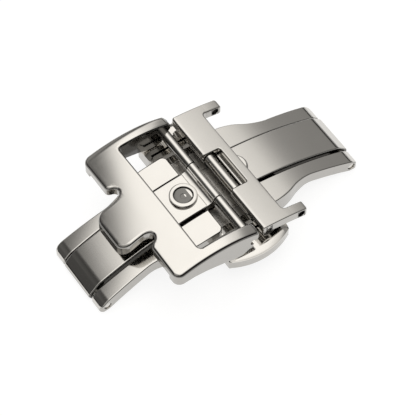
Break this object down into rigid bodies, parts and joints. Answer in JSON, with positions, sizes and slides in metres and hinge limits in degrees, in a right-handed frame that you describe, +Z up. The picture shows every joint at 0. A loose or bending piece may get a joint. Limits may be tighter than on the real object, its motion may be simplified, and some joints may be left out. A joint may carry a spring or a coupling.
{
  "type": "watch clasp",
  "caption": "Double-wing steel deployment clasp with side push buttons, a hinged strap cover frame, a strap stud and a hinged lug plate.",
  "frame": {"origin": "bottom centre of the closed clasp: midway between the two end pins, between the two sides, level with the lowest points of the base's ends", "axes": "+X along the strap towards the lug plate, +Y across the strap, +Z up, away from the wrist"},
  "size_m": [0.0404, 0.0234, 0.0093],
  "materials": {
    "polished_steel": "polished",
    "satin_steel": "satin",
    "spring_steel": "drawn wire"
  },
  "bodies": {
    "base": {"base_frame": "polished_steel", "left_end_pin": "polished_steel", "right_end_pin": "polished_steel", "latch_cover": "satin_steel", "latch_cover_screws": "satin_steel"},
    "left_arm": {"left_wing": "polished_steel", "strap_stud": "polished_steel", "left_catch": "satin_steel"},
    "cover": {"cover_frame": "polished_steel", "cover_rod": "polished_steel"},
    "right_arm": {"right_wing": "polished_steel", "right_catch": "satin_steel"},
    "lug": {"lug_plate": "polished_steel", "lug_rod": "polished_steel"},
    "front_push": {"front_button": "polished_steel", "front_latch": "satin_steel", "front_spring": "spring_steel"},
    "rear_push": {"rear_button": "polished_steel", "rear_latch": "satin_steel", "rear_spring": "spring_steel"}
  },
  "joints": [
    {"name": "left_wing_hinge", "type": "hinge", "parent": "base", "child": "left_arm", "pos_m": [-0.019, 0, 0.0009], "axis": [0, -1, 0], "range_deg": [0, 165]},
    {"name": "right_wing_hinge", "type": "hinge", "parent": "base", "child": "right_arm", "pos_m": [0.019, 0, 0.0009], "axis": [0, 1, 0], "range_deg": [0, 165]},
    {"name": "cover_hinge", "type": "hinge", "parent": "left_arm", "child": "cover", "pos_m": [-0.0006, 0, 0.00662], "axis": [0, 1, 0], "range_deg": [0, 45]},
    {"name": "lug_hinge", "type": "hinge", "parent": "right_arm", "child": "lug", "pos_m": [0.00215, 0, 0.00627], "axis": [0, -1, 0], "range_deg": [0, 60]},
    {"name": "front_button_slide", "type": "slide", "parent": "base", "child": "front_push", "axis": [0, 1, 0], "range_m": [0, 0.0005], "stiffness_N_per_m": 1500, "springref_m": -0.0004, "deforming": ["front_spring"]},
    {"name": "rear_button_slide", "type": "slide", "parent": "base", "child": "rear_push", "axis": [0, -1, 0], "range_m": [0, 0.0005], "stiffness_N_per_m": 1500, "springref_m": -0.0004, "deforming": ["rear_spring"]}
  ]
}
